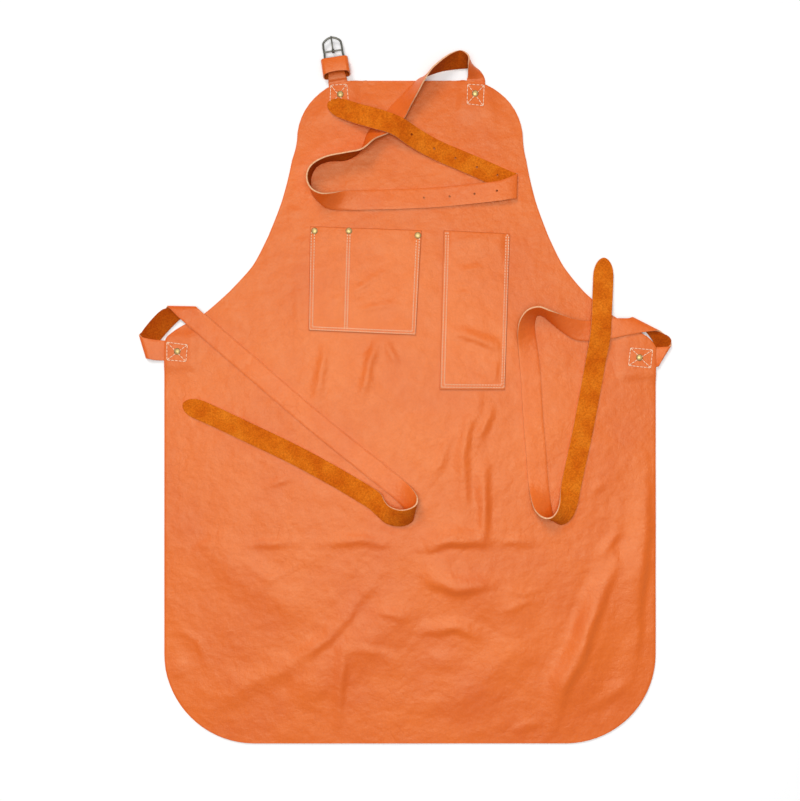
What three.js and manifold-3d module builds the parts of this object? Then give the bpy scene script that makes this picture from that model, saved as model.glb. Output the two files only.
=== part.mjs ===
// A leather grill apron lying flat on its back, grain side up, in millimetres with +Z up.
// The origin is on the floor under the middle of the panel, and +Y points to the neck.
import * as THREE from "three";
import { mergeVertices } from "three/addons/utils/BufferGeometryUtils.js";
import Module from "manifold-3d";

const wasm = await Module();
wasm.setup();

// Leather sizes
const PANEL_THICK = 1.4;
const STRAP_THICK = 1.8;
const GAP = 0.3;

// Panel: straight sides, round lower corners, round bib corners and two hollow armholes
const SIDE_X = 298;
const HEM_Y = -402;
const HEM_CORNER_R = 109;
const BIB_TOP_Y = 402;
const BIB_CORNER_R = 72;
const BIB_HALF_WIDTH = 137;
// Armhole edge from the bib corner down to the side, left x and right x at each height y
const ARMHOLE = [
  { y: 306, left: -143, right: 141 },
  { y: 257, left: -155, right: 152 },
  { y: 213, left: -172, right: 168 },
  { y: 177, left: -191, right: 186 },
  { y: 146, left: -219, right: 211 },
  { y: 119, left: -250, right: 243 },
  { y: 96, left: -289, right: 280 },
  { y: 82, left: -SIDE_X, right: 296 },
];

// Soft folds of the skirt: a low ridge from one end to the other, its rise and its half width
const FOLDS = [
  { x0: -120, y0: -330, x1: -20, y1: -250, rise: 2.5, half: 38 },
  { x0: 40, y0: -190, x1: 120, y1: -240, rise: 2.5, half: 40 },
  { x0: 200, y0: -330, x1: 262, y1: -190, rise: 3, half: 40 },
  { x0: -230, y0: -170, x1: -150, y1: -235, rise: 2, half: 36 },
  { x0: 60, y0: -345, x1: 130, y1: -290, rise: 2, half: 36 },
];
const PANEL_CELL = 30;
const SLAB_MARGIN = 12;
const CUTTER_REACH = 30;

// Sewn strap ends behind the panel: the panel lies over each, raised by its thickness
const SEAT_LIFT = STRAP_THICK + GAP;
const SEAT_RAMP = 9;
const SEATS = [
  { x: 80, y: 388, halfX: 14, halfY: 21 },
  { x: -86, y: 388, halfX: 14, halfY: 21 },
  { x: -284, y: 74, halfX: 18, halfY: 15 },
  { x: 284, y: 72, halfX: 22, halfY: 24 },
];

// Rivets: a domed head on the grain side and a shank through every layer
const RIVET_HEAD_R = 4;
const RIVET_HEAD_RISE = 2;
const RIVET_RIM = 0.4;
const RIVET_SHANK_R = 1.4;
const RIVET_HOLE_R = 1.75;
const RIVET_FOOT_Z = 0.2;
const RIVETS = [
  { name: "rivet_neck_left", x: -84.5, y: 385 },
  { name: "rivet_neck_right", x: 79, y: 386 },
  { name: "rivet_waist_left", x: -282, y: 73.5 },
  { name: "rivet_waist_right", x: 278, y: 66 },
  { name: "rivet_pocket_left", x: -115.5, y: 219.5, onPocket: true },
  { name: "rivet_pocket_middle", x: -74, y: 219.5, onPocket: true },
  { name: "rivet_pocket_right", x: 9.5, y: 214, onPocket: true },
];

// Pockets: the four corners of each flat panel, clockwise from top left
const POCKET_TOOLS = [
  { x: -121, y: 225 },
  { x: 14, y: 220 },
  { x: 7, y: 93 },
  { x: -123, y: 99 },
];
const POCKET_TALL = [
  { x: 41, y: 220 },
  { x: 121, y: 216 },
  { x: 115, y: 27 },
  { x: 36, y: 27 },
];

// Straps: a row for each section, from the sewn end to the free tip. The first three columns
// are the left edge x, y, z seen along the strap with its grain up, the last three the right edge.
const NECK_STRAP = [
  [69, 370, 0.9, 91, 370, 0.9],
  [69, 403, 0.9, 91, 403, 0.9],
  [70, 406.5, 3.2, 90.5, 405, 0.95],
  [70, 412.5, 11, 88, 409.5, 0.95],
  [70, 419, 18.5, 82, 416, 0.95],
  [70.5, 425, 21.5, 74.5, 419, 0.95],
  [67.5, 431, 18, 69, 417.5, 1],
  [60.5, 436, 12, 59.5, 416.5, 1],
  [51.5, 432.5, 15, 50, 415.5, 1],
  [43.5, 427, 19, 39, 414, 1],
  [33.5, 418.5, 22, 29, 411, 1.2],
  [25.5, 410.5, 23.5, 21, 408, 1.2],
  [17, 397.5, 22.5, 11.5, 404, 2.3],
  [10, 384.5, 20, -2, 391.5, 2.8],
  [1.5, 370, 15, -14, 379.5, 2.8],
  [-6.5, 355, 10.5, -26, 367, 2.8],
  [-16, 344.5, 10, -36.5, 354, 2.8],
  [-26, 336.5, 12, -45, 345, 2.8],
  [-42, 328.5, 17.5, -51, 338, 2.8],
  [-58, 315, 23, -60, 316.5, 2.8],
  [-78, 310.5, 24, -76.5, 306, 2.8],
  [-102, 305, 25, -99.5, 304, 2.8],
  [-117.5, 296, 25, -114, 297, 2.8],
  [-123, 286, 25, -120, 285, 2.8],
  [-122.5, 275, 25, -120.5, 276, 2.8],
  [-117, 266.5, 25, -119, 266, 2.8],
  [-107, 262, 23, -112, 256.5, 2.8],
  [-94, 263.5, 16, -99.5, 247, 2.8],
  [-78.5, 267.5, 8, -81, 245, 2.8],
  [-54.5, 269, 3, -54.5, 245, 2.8],
  [-12, 270, 2.8, -11, 246, 2.8],
  [36.5, 272.5, 2.8, 37.5, 248.5, 2.8],
  [77.5, 276.5, 4.6, 79, 252.5, 4],
  [109, 280, 6, 111.5, 256, 6],
  [124.5, 286, 5.8, 123.5, 258, 5.8],
  [129.5, 289, 4.4, 128.5, 258.5, 4.4],
  [126, 290, 2.8, 122.5, 261, 2.8],
  [109, 297.5, 2.6, 98.5, 275, 2.6],
  [85, 308, 2.9, 75, 286, 2.9],
  [36.5, 328.5, 3.6, 25, 307.5, 3.6],
  [12, 341.5, 7.5, -0.5, 321, 7.5],
  [-9.5, 354.5, 13.2, -22.5, 334.5, 14.2],
  [-36.5, 365, 11.5, -44.5, 341.5, 12.5],
  [-60.5, 372.5, 7, -69, 349.5, 7.5],
  [-78.5, 378.5, 6.2, -87.5, 356.5, 5],
  [-94, 384.5, 6.2, -105, 363, 5],
];
const WAIST_STRAP_LEFT = [
  [-269.5, 62, 0.9, -269.5, 85.5, 0.9],
  [-296, 62.5, 0.9, -296, 86.5, 0.9],
  [-309, 63, 2.6, -315, 88.5, 3.2],
  [-317, 64.5, 3.6, -325.5, 91.5, 3.8],
  [-319.5, 65.5, 2.3, -328, 94, 2.3],
  [-317, 70, 0.95, -325.5, 97, 0.95],
  [-304, 86, 0.9, -320, 104.5, 0.9],
  [-289, 103, 0.9, -306.5, 119.5, 0.9],
  [-272, 118.5, 0.9, -300, 124.5, 0.9],
  [-262.5, 125.5, 1, -296, 126, 1],
  [-260.5, 127.3, 2.4, -294.5, 128, 2.4],
  [-257.5, 126, 4, -291, 125.5, 4],
  [-249.5, 119, 4.2, -281, 115.5, 4.2],
  [-235, 106.5, 3.4, -261.5, 98.5, 3.4],
  [-194.5, 72, 2.8, -211, 54.5, 2.8],
  [-109, -1.5, 2.8, -125.5, -19, 2.8],
  [-36.5, -59.5, 2.8, -52.5, -78, 2.8],
  [-7.5, -83, 4, -23, -101.5, 2.9],
  [3, -93, 9, -10.5, -113, 3.2],
  [8.5, -102, 15, -0.5, -123.5, 4],
  [7.5, -110, 19, 3.5, -130, 4.5],
  [1, -115, 20, -3, -136, 4.5],
  [-11, -117.5, 19, -14.5, -138, 4],
  [-23, -114.5, 15, -29, -134.5, 3.5],
  [-29.5, -109, 11, -40, -125.5, 3],
  [-35.5, -98.5, 7, -49.5, -117, 2.8],
  [-48.5, -89.5, 4, -62.5, -109, 2.8],
  [-85, -68, 2.8, -97, -88.5, 2.8],
  [-133.5, -41.5, 2.8, -145, -62.5, 2.8],
  [-194, -12.5, 2.8, -204.5, -34, 2.8],
  [-236.5, 7.5, 2.8, -247, -14, 2.8],
  [-269, 21.5, 2.8, -281, 0, 2.8],
];
const WAIST_STRAP_RIGHT = [
  [264.5, 77.5, 0.9, 264.5, 54, 0.9],
  [300, 78.5, 0.9, 300, 54.5, 0.9],
  [309, 79, 2.6, 300.8, 55.3, 2.2],
  [314.5, 79.5, 3.6, 301.5, 57, 3.4],
  [317.5, 82, 2.3, 302, 59.5, 2.2],
  [317.5, 85, 0.95, 301.5, 65, 0.95],
  [317.5, 87.5, 0.9, 299.5, 74, 0.9],
  [314, 91.5, 0.9, 294, 87, 0.9],
  [309, 94.5, 1, 281, 103, 1],
  [302, 98.2, 2.4, 270, 114.5, 2.4],
  [299, 98.5, 4.2, 265, 113.5, 4.2],
  [281, 96.5, 5.2, 255, 113.5, 5],
  [262, 93, 5, 246, 113.5, 4.8],
  [241, 88.5, 3.4, 235, 112, 3.6],
  [218, 86.5, 2.8, 216, 110.5, 5],
  [200, 88, 2.8, 198, 112.5, 9],
  [184.5, 97.5, 2.8, 180, 118, 15.5],
  [169.5, 110, 2.8, 166.5, 122, 22],
  [160, 117, 2.8, 154, 126, 24],
  [154, 117, 2.8, 141, 122.5, 22],
  [151, 108, 2.8, 132.5, 111.5, 17],
  [151.5, 96, 2.8, 130, 98, 11],
  [154.5, 77.5, 2.8, 131, 80, 5],
  [157.5, 51, 2.8, 133.5, 53, 3],
  [161, -3.5, 2.8, 137, -4.5, 2.8],
  [165, -52, 2.8, 141, -54, 2.8],
  [167.5, -85, 2.8, 143.5, -86.5, 3.5],
  [169.5, -104, 2.8, 146, -104, 9],
  [171.5, -117.5, 2.8, 150, -117.5, 15],
  [173.5, -126.5, 2.8, 156.5, -124.5, 20],
  [176, -132, 2.8, 163.5, -127, 22.5],
  [182, -136, 2.8, 170, -125.5, 22],
  [190.5, -133.5, 2.8, 176, -119.5, 18],
  [198, -125, 2.8, 180, -110.5, 12],
  [203, -111.5, 2.8, 181.5, -100.5, 7],
  [206.5, -94.5, 2.8, 183, -89.5, 4],
  [211.5, -70.5, 2.8, 187.5, -67, 2.8],
  [219.5, -34, 2.8, 195.5, -30.5, 2.8],
  [230, 20.5, 2.8, 206, 24.5, 2.8],
  [237, 60.5, 3, 213, 64.5, 4],
  [242, 89.5, 6.8, 217.5, 92, 7.6],
  [243.5, 113.5, 7, 219.5, 114.5, 8],
  [245.5, 140.5, 3.4, 221, 141, 4],
  [246.5, 162.5, 2.2, 222, 163, 2.4],
  [247, 187, 1, 223.5, 187.5, 1],
];
const STEPS_PER_ROW = 2;
const TIP_LENGTH = 22;
// Punched holes of the neck strap: five on the free end and four on the run before it
const PUNCH_R = 1.3;
const PUNCHES = [
  { x: 2, y: 335 },
  { x: 29.5, y: 319 },
  { x: 55, y: 307.5 },
  { x: 81, y: 296.5 },
  { x: 106, y: 287 },
  { x: 17, y: 259.5 },
  { x: 48, y: 261 },
  { x: 78, y: 264 },
  { x: 105, y: 267.5 },
];

// Buckle: measured in its own frame, its cross bar on the local X axis and its tip towards +Y
const BUCKLE_X = -93;
const BUCKLE_Y = 437;
const BUCKLE_TURN = THREE.MathUtils.degToRad(8.7);
const BUCKLE_Z = 5.1;
const WIRE_R = 1.1;
const BAR_R = 1;
const FRAME_HALF_WIDTH = 11;
const FRAME_SIDE_Y = -2;
const FRAME_SHOULDER_Y = 7.5;
const FRAME_TIP_Y = 16.5;
// Two points of the arched tip, between the straight side and its middle
const FRAME_HAUNCH = { x: 10.1, y: 11.2 };
const FRAME_BROW = { x: 5.6, y: 15 };
const RAIL_Y = -15;
const FRAME_CORNER_R = 3;
const FRAME_STEPS = 44;
const FRAME_TENSION = 0.4;
const PRONG_EYE_R = 2.5;
const PRONG_EYE_BORE_R = 1.5;
const PRONG_EYE_WIDTH = 3;
const PRONG_R = 0.9;
const PRONG_ROOT_RISE = 0.5;
const PRONG_KNEE_Y = 6.5;
const PRONG_KNEE_RISE = 1.95;
const PRONG_REACH = 17.6;
const PRONG_TIP_RISE = 2.6;
const PRONG_STEPS = 6;

// Short strap in the buckle's frame: up from its sewn end, round the rail and back on top
const BUCKLE_STRAP_SEWN_HALF = 11.5;
const BUCKLE_STRAP_KEEPER_HALF = 11;
const BUCKLE_STRAP_RAIL_HALF = 8.6;
const BUCKLE_STRAP_SEWN_Y = -68;
const BUCKLE_STRAP_EDGE_Y = -36;
const BUCKLE_STRAP_KEEPER_Y = -32.4;
const BUCKLE_STRAP_RETURN_Y = -22;
const RAIL_WRAP_DEGREES = [-60, -30, 0, 30, 60, 90];
const KEEPER_THICK = 1.4;
const KEEPER_HALF_WIDTH = 16.5;
const KEEPER_TOP_Z = 12.4;
const KEEPER_NEAR_Y = -9;
const KEEPER_LENGTH = 19.5;
const KEEPER_LEAN = 0.28;
const KEEPER_CORNER_R = 4.5;
const KEEPER_ARC_STEPS = 4;

const leather = (color) => new THREE.MeshStandardMaterial({ color, roughness: 0.55, metalness: 0 });
const PANEL_LEATHER = leather(0xe07a45);
const POCKET_LEATHER = leather(0xe07c48);
const STRAP_LEATHER = leather(0xdd7440);
const DARK_STEEL = new THREE.MeshStandardMaterial({ color: 0x4a4a42, roughness: 0.35, metalness: 1 });
const OLD_BRASS = new THREE.MeshStandardMaterial({ color: 0xb9a568, roughness: 0.35, metalness: 1 });

// A closed geometry as a solid that can be joined and cut, and back again
function solidOf(geometry) {
  const bare = geometry.clone();
  bare.deleteAttribute("normal");
  bare.deleteAttribute("uv");
  const merged = mergeVertices(bare, 1e-3);
  const vertProperties = merged.getAttribute("position").array;
  const triVerts = new Uint32Array(merged.index.array);
  return new wasm.Manifold(new wasm.Mesh({ numProp: 3, vertProperties, triVerts }));
}
function geometryOf(solid) {
  const mesh = solid.getMesh();
  const geometry = new THREE.BufferGeometry();
  geometry.setAttribute("position", new THREE.BufferAttribute(mesh.vertProperties, 3));
  geometry.setIndex(new THREE.BufferAttribute(mesh.triVerts, 1));
  geometry.computeVertexNormals();
  return geometry;
}

// Round holes cut straight down through a piece
const DRILL_SIDES = 8;
const DRILL_LENGTH = 60;
function drilled(geometry, holes, radius) {
  let solid = solidOf(geometry);
  for (const { x, y } of holes) {
    const drill = new THREE.CylinderGeometry(radius, radius, DRILL_LENGTH, DRILL_SIDES);
    solid = solid.subtract(solidOf(drill.rotateX(Math.PI / 2).translate(x, y, 0)));
  }
  return geometryOf(solid);
}

// The panel's outline, clockwise from the left end of the hem
function panelOutline() {
  const left = ARMHOLE.map(({ y, left: x }) => new THREE.Vector2(x, y));
  const right = ARMHOLE.map(({ y, right: x }) => new THREE.Vector2(x, y));
  const hemCornerX = SIDE_X - HEM_CORNER_R;
  const hemCornerY = HEM_Y + HEM_CORNER_R;
  const bibCornerX = BIB_HALF_WIDTH - BIB_CORNER_R;
  const bibCornerY = BIB_TOP_Y - BIB_CORNER_R;
  const shape = new THREE.Shape();
  shape.moveTo(-hemCornerX, HEM_Y);
  shape.absarc(-hemCornerX, hemCornerY, HEM_CORNER_R, -Math.PI / 2, -Math.PI, true);
  shape.lineTo(-SIDE_X, left.at(-1).y);
  shape.splineThru([...left.slice(0, -1)].reverse());
  shape.lineTo(-BIB_HALF_WIDTH, bibCornerY);
  shape.absarc(-bibCornerX, bibCornerY, BIB_CORNER_R, Math.PI, Math.PI / 2, true);
  shape.lineTo(bibCornerX, BIB_TOP_Y);
  shape.absarc(bibCornerX, bibCornerY, BIB_CORNER_R, Math.PI / 2, 0, true);
  shape.splineThru(right);
  shape.lineTo(SIDE_X, hemCornerY);
  shape.absarc(hemCornerX, hemCornerY, HEM_CORNER_R, 0, -Math.PI / 2, true);
  shape.closePath();
  return shape;
}

// How high the panel's underside stands off the floor: its soft folds and its sewn seats
const smooth = (t) => THREE.MathUtils.smoothstep(t, 0, 1);
function seatLift(x, y) {
  let lift = 0;
  for (const seat of SEATS) {
    const outX = Math.max(Math.abs(x - seat.x) - seat.halfX, 0);
    const outY = Math.max(Math.abs(y - seat.y) - seat.halfY, 0);
    lift = Math.max(lift, SEAT_LIFT * smooth(1 - Math.max(outX, outY) / SEAT_RAMP));
  }
  return lift;
}
function foldRise(x, y) {
  let rise = 0;
  const point = new THREE.Vector3(x, y, 0);
  for (const fold of FOLDS) {
    const ridge = new THREE.Line3(
      new THREE.Vector3(fold.x0, fold.y0, 0),
      new THREE.Vector3(fold.x1, fold.y1, 0),
    );
    const away = ridge.closestPointToPoint(point, true, new THREE.Vector3()).distanceTo(point);
    rise += fold.rise * smooth(1 - away / fold.half);
  }
  return rise;
}
const panelHeight = (x, y) => seatLift(x, y) + foldRise(x, y);

// Grid lines from low to high, evenly spaced, with extra lines at the seats' edges and ramps
function gridLines(low, high, seatLines) {
  const count = Math.round((high - low) / PANEL_CELL);
  const even = Array.from({ length: count + 1 }, (_, i) => low + ((high - low) * i) / count);
  const clear = even.filter((v) => seatLines.every((s) => Math.abs(s - v) > PANEL_CELL / 4));
  return [...clear, ...seatLines.filter((s) => s > low && s < high)].sort((a, b) => a - b);
}
const SEAT_LINES_APART = 3;
function seatLines(middle, half) {
  const lines = new Set();
  for (const seat of SEATS) {
    for (const reach of [seat[half], seat[half] + SEAT_RAMP]) {
      lines.add(seat[middle] - reach).add(seat[middle] + reach);
    }
  }
  const apart = (a, b) => Math.abs(a - b) > SEAT_LINES_APART;
  return [...lines].filter((a, i, all) => all.slice(0, i).every((b) => apart(a, b)));
}

// A wavy slab on the grid, closed all round, then cut to the outline
const OUTLINE_ARC_STEPS = 10;
function panelGeometry() {
  const xs = gridLines(-SIDE_X - SLAB_MARGIN, SIDE_X + SLAB_MARGIN, seatLines("x", "halfX"));
  const ys = gridLines(HEM_Y - SLAB_MARGIN, BIB_TOP_Y + SLAB_MARGIN, seatLines("y", "halfY"));
  const positions = [];
  for (const thick of [0, PANEL_THICK]) {
    for (const y of ys) for (const x of xs) positions.push(x, y, panelHeight(x, y) + thick);
  }
  const layer = xs.length * ys.length;
  const at = (i, j) => j * xs.length + i;
  const index = [];
  const quad = (a, b, c, d) => index.push(a, b, c, a, c, d);
  for (let j = 0; j + 1 < ys.length; j++) {
    for (let i = 0; i + 1 < xs.length; i++) {
      const corners = [at(i, j), at(i + 1, j), at(i + 1, j + 1), at(i, j + 1)];
      quad(...corners.map((k) => k + layer));
      quad(...corners.reverse());
    }
  }
  const rim = [];
  for (let i = 0; i + 1 < xs.length; i++) rim.push(at(i, 0));
  for (let j = 0; j + 1 < ys.length; j++) rim.push(at(xs.length - 1, j));
  for (let i = xs.length - 1; i > 0; i--) rim.push(at(i, ys.length - 1));
  for (let j = ys.length - 1; j > 0; j--) rim.push(at(0, j));
  rim.forEach((a, k) => {
    const b = rim[(k + 1) % rim.length];
    quad(a, b, b + layer, a + layer);
  });
  const slab = new THREE.BufferGeometry();
  slab.setAttribute("position", new THREE.Float32BufferAttribute(positions, 3));
  slab.setIndex(index);
  const cutter = new THREE.ExtrudeGeometry(panelOutline(), {
    depth: 2 * CUTTER_REACH,
    bevelEnabled: false,
    curveSegments: OUTLINE_ARC_STEPS,
  });
  const cut = solidOf(slab).intersect(solidOf(cutter.translate(0, 0, -CUTTER_REACH)));
  return drilled(geometryOf(cut), RIVETS, RIVET_HOLE_R);
}

// A flat pocket panel lying on the body
const POCKET_Z = PANEL_THICK + GAP;
function pocketGeometry(corners, holes) {
  const shape = new THREE.Shape(corners.map(({ x, y }) => new THREE.Vector2(x, y)));
  const flat = new THREE.ExtrudeGeometry(shape, { depth: PANEL_THICK, bevelEnabled: false });
  return drilled(flat.translate(0, 0, POCKET_Z), holes, RIVET_HOLE_R);
}

// A strap through its table of sections: both edges run as smooth curves that keep off the floor,
// the wall stands half its thickness to either side, and a free end narrows to a round tip
function strapGeometry(rows, tipLength) {
  const left = new THREE.CatmullRomCurve3(rows.map(([x, y, z]) => new THREE.Vector3(x, y, z)));
  const right = new THREE.CatmullRomCurve3(rows.map(([, , , x, y, z]) => new THREE.Vector3(x, y, z)));
  const count = (rows.length - 1) * STEPS_PER_ROW;
  const sections = [];
  for (let i = 0; i <= count; i++) {
    const a = left.getPoint(i / count);
    const b = right.getPoint(i / count);
    for (const edge of [a, b]) edge.z = Math.max(edge.z, STRAP_THICK / 2);
    sections.push({ mid: a.clone().add(b).divideScalar(2), half: a.clone().sub(b).divideScalar(2) });
  }
  if (tipLength) roundTip(sections, tipLength);
  const positions = [];
  sections.forEach(({ mid, half }, i) => {
    const before = sections[Math.max(i - 1, 0)].mid;
    const after = sections[Math.min(i + 1, sections.length - 1)].mid;
    const along = after.clone().sub(before);
    const rise = along.cross(half).setLength(STRAP_THICK / 2);
    for (const [side, face] of [[1, 1], [1, -1], [-1, -1], [-1, 1]]) {
      const corner = mid.clone().addScaledVector(half, side).addScaledVector(rise, face);
      positions.push(corner.x, corner.y, corner.z);
    }
  });
  return closedSweep(positions, 4);
}

// The last stretch of a strap as a few sections whose width follows an ellipse
const TIP_STEPS = [0.35, 0.65, 0.85, 0.97];
function roundTip(sections, tipLength) {
  const end = sections.at(-1);
  while (sections.length > 2 && sections.at(-1).mid.distanceTo(end.mid) < tipLength) sections.pop();
  const root = sections.at(-1);
  const start = end.mid.clone().lerp(root.mid, tipLength / end.mid.distanceTo(root.mid));
  for (const step of [0, ...TIP_STEPS]) {
    const mid = start.clone().lerp(end.mid, step);
    const half = end.half.clone().multiplyScalar(Math.sqrt(1 - step * step));
    sections.push({ mid, half });
  }
}

// Rings of points joined into one closed skin, with a flat cap at either end
function closedSweep(positions, sides) {
  const rings = positions.length / 3 / sides;
  const index = [];
  for (let r = 0; r + 1 < rings; r++) {
    for (let k = 0; k < sides; k++) {
      const a = r * sides + k;
      const b = r * sides + ((k + 1) % sides);
      index.push(a, a + sides, b, b, a + sides, b + sides);
    }
  }
  const last = (rings - 1) * sides;
  for (let k = 1; k + 1 < sides; k++) {
    index.push(0, k, k + 1);
    index.push(last, last + k + 1, last + k);
  }
  const geometry = new THREE.BufferGeometry();
  geometry.setAttribute("position", new THREE.Float32BufferAttribute(positions, 3));
  geometry.setIndex(index);
  return geometry;
}

// A rivet turned round its axis: shank, flat under the head, and dome
const RIVET_SIDES = 12;
const DOME_STEPS = 4;
function rivetGeometry(headZ) {
  const profile = [
    new THREE.Vector2(0, RIVET_FOOT_Z),
    new THREE.Vector2(RIVET_SHANK_R, RIVET_FOOT_Z),
    new THREE.Vector2(RIVET_SHANK_R, headZ),
    new THREE.Vector2(RIVET_HEAD_R, headZ),
  ];
  for (let i = 0; i <= DOME_STEPS; i++) {
    const turn = (Math.PI / 2) * (i / DOME_STEPS);
    const r = i === DOME_STEPS ? 0 : RIVET_HEAD_R * Math.cos(turn);
    const rise = RIVET_RIM + (RIVET_HEAD_RISE - RIVET_RIM) * Math.sin(turn);
    profile.push(new THREE.Vector2(r, headZ + rise));
  }
  return new THREE.LatheGeometry(profile, RIVET_SIDES).rotateX(Math.PI / 2);
}

// A round wire along a path of points
const WIRE_SIDES = 8;
function wire(path, radius, steps) {
  const section = new THREE.Shape();
  for (let i = 0; i < WIRE_SIDES; i++) {
    const turn = (2 * Math.PI * i) / WIRE_SIDES;
    const [x, y] = [radius * Math.cos(turn), radius * Math.sin(turn)];
    if (i === 0) section.moveTo(x, y);
    else section.lineTo(x, y);
  }
  return new THREE.ExtrudeGeometry(section, { extrudePath: path, steps, bevelEnabled: false });
}

// The buckle's frame: one closed wire, arched at the tip, with the cross bar soldered in
function frameGeometry() {
  const w = FRAME_HALF_WIDTH;
  const c = FRAME_CORNER_R;
  const points = [
    [0, RAIL_Y], [w - c, RAIL_Y], [w, RAIL_Y + c], [w, FRAME_SIDE_Y], [w, FRAME_SHOULDER_Y],
    [FRAME_HAUNCH.x, FRAME_HAUNCH.y], [FRAME_BROW.x, FRAME_BROW.y], [0, FRAME_TIP_Y],
  ];
  const mirrored = points.slice(1, -1).reverse().map(([x, y]) => [-x, y]);
  const loop = [...points, ...mirrored].map(([x, y]) => new THREE.Vector3(x, y, 0));
  const path = new THREE.CatmullRomCurve3(loop, true, "catmullrom", FRAME_TENSION);
  const ring = solidOf(wire(path, WIRE_R, FRAME_STEPS));
  const across = new THREE.LineCurve3(new THREE.Vector3(-w, 0, 0), new THREE.Vector3(w, 0, 0));
  return geometryOf(ring.add(solidOf(wire(across, BAR_R, 1))));
}

// The prong: an eye round the cross bar, and a pin from it that rests on the frame's tip
const EYE_ARC_STEPS = 7;
function prongGeometry() {
  const eye = new THREE.Shape();
  eye.absarc(0, 0, PRONG_EYE_R, 0, 2 * Math.PI, false);
  const bore = new THREE.Path();
  bore.absarc(0, 0, PRONG_EYE_BORE_R, 0, 2 * Math.PI, true);
  eye.holes.push(bore);
  const ring = new THREE.ExtrudeGeometry(eye, {
    depth: PRONG_EYE_WIDTH,
    bevelEnabled: false,
    curveSegments: EYE_ARC_STEPS,
  });
  ring.translate(0, 0, -PRONG_EYE_WIDTH / 2).rotateY(Math.PI / 2);
  const root = new THREE.Vector3(0, (PRONG_EYE_BORE_R + PRONG_EYE_R) / 2, PRONG_ROOT_RISE);
  const knee = new THREE.Vector3(0, PRONG_KNEE_Y, PRONG_KNEE_RISE);
  const tip = new THREE.Vector3(0, PRONG_REACH, PRONG_TIP_RISE);
  const pin = wire(new THREE.CatmullRomCurve3([root, knee, tip]), PRONG_R, PRONG_STEPS);
  return geometryOf(solidOf(ring).add(solidOf(pin)));
}

// The short strap: a row for each section, its place on the buckle's Y axis, height and half width
function buckleStrapGeometry() {
  const half = STRAP_THICK / 2;
  const floorZ = half - BUCKLE_Z;
  const keeperZ = KEEPER_THICK + GAP + half - BUCKLE_Z;
  const wrapR = -keeperZ;
  const route = [
    [BUCKLE_STRAP_SEWN_Y, floorZ, BUCKLE_STRAP_SEWN_HALF],
    [BUCKLE_STRAP_EDGE_Y, floorZ, BUCKLE_STRAP_SEWN_HALF],
    [BUCKLE_STRAP_KEEPER_Y, keeperZ, BUCKLE_STRAP_KEEPER_HALF],
    [RAIL_Y, keeperZ, BUCKLE_STRAP_RAIL_HALF],
  ];
  for (const turn of RAIL_WRAP_DEGREES) {
    const angle = THREE.MathUtils.degToRad(turn);
    const [y, z] = [RAIL_Y + wrapR * Math.cos(angle), wrapR * Math.sin(angle)];
    route.push([y, z, BUCKLE_STRAP_RAIL_HALF]);
  }
  route.push([BUCKLE_STRAP_RETURN_Y, wrapR, BUCKLE_STRAP_RAIL_HALF]);
  const positions = [];
  route.forEach(([y, z, w], i) => {
    const [y0, z0] = route[Math.max(i - 1, 0)];
    const [y1, z1] = route[Math.min(i + 1, route.length - 1)];
    const length = Math.hypot(y1 - y0, z1 - z0);
    const [ny, nz] = [(-(z1 - z0) / length) * half, ((y1 - y0) / length) * half];
    positions.push(-w, y + ny, z + nz, -w, y - ny, z - nz, w, y - ny, z - nz, w, y + ny, z + nz);
  });
  return closedSweep(positions, 4);
}

// The keeper: a flat ring of leather round the short strap, its upper run leaning to the buckle
function roundRect(path, halfWidth, low, high, r) {
  path.moveTo(-halfWidth + r, low);
  path.lineTo(halfWidth - r, low);
  path.absarc(halfWidth - r, low + r, r, -Math.PI / 2, 0, false);
  path.lineTo(halfWidth, high - r);
  path.absarc(halfWidth - r, high - r, r, 0, Math.PI / 2, false);
  path.lineTo(-halfWidth + r, high);
  path.absarc(-halfWidth + r, high - r, r, Math.PI / 2, Math.PI, false);
  path.lineTo(-halfWidth, low + r);
  path.absarc(-halfWidth + r, low + r, r, Math.PI, 1.5 * Math.PI, false);
  return path;
}
function keeperGeometry() {
  const t = KEEPER_THICK;
  const ring = roundRect(new THREE.Shape(), KEEPER_HALF_WIDTH, 0, KEEPER_TOP_Z, KEEPER_CORNER_R);
  const inside = [KEEPER_HALF_WIDTH - t, t, KEEPER_TOP_Z - t, KEEPER_CORNER_R - t];
  ring.holes.push(roundRect(new THREE.Path(), ...inside));
  const loop = new THREE.ExtrudeGeometry(ring, {
    depth: KEEPER_LENGTH,
    bevelEnabled: false,
    curveSegments: KEEPER_ARC_STEPS,
  }).rotateX(Math.PI / 2);
  const lean = new THREE.Matrix4().makeShear(0, 0, 0, 0, 0, KEEPER_LEAN);
  return loop.applyMatrix4(lean).translate(0, KEEPER_NEAR_Y - KEEPER_LEAN * KEEPER_TOP_Z, -BUCKLE_Z);
}

function piece(name, geometry, material) {
  const mesh = new THREE.Mesh(geometry, material);
  mesh.name = name;
  return mesh;
}

const apron = new THREE.Group();
const rivetsOf = (...names) => RIVETS.filter(({ name }) => names.includes(name));
const pocketRivets = RIVETS.filter(({ onPocket }) => onPocket);

apron.add(piece("apron_body", panelGeometry(), PANEL_LEATHER));
apron.add(piece("pocket_tools", pocketGeometry(POCKET_TOOLS, pocketRivets), POCKET_LEATHER));
apron.add(piece("pocket_tall", pocketGeometry(POCKET_TALL, []), POCKET_LEATHER));

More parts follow.
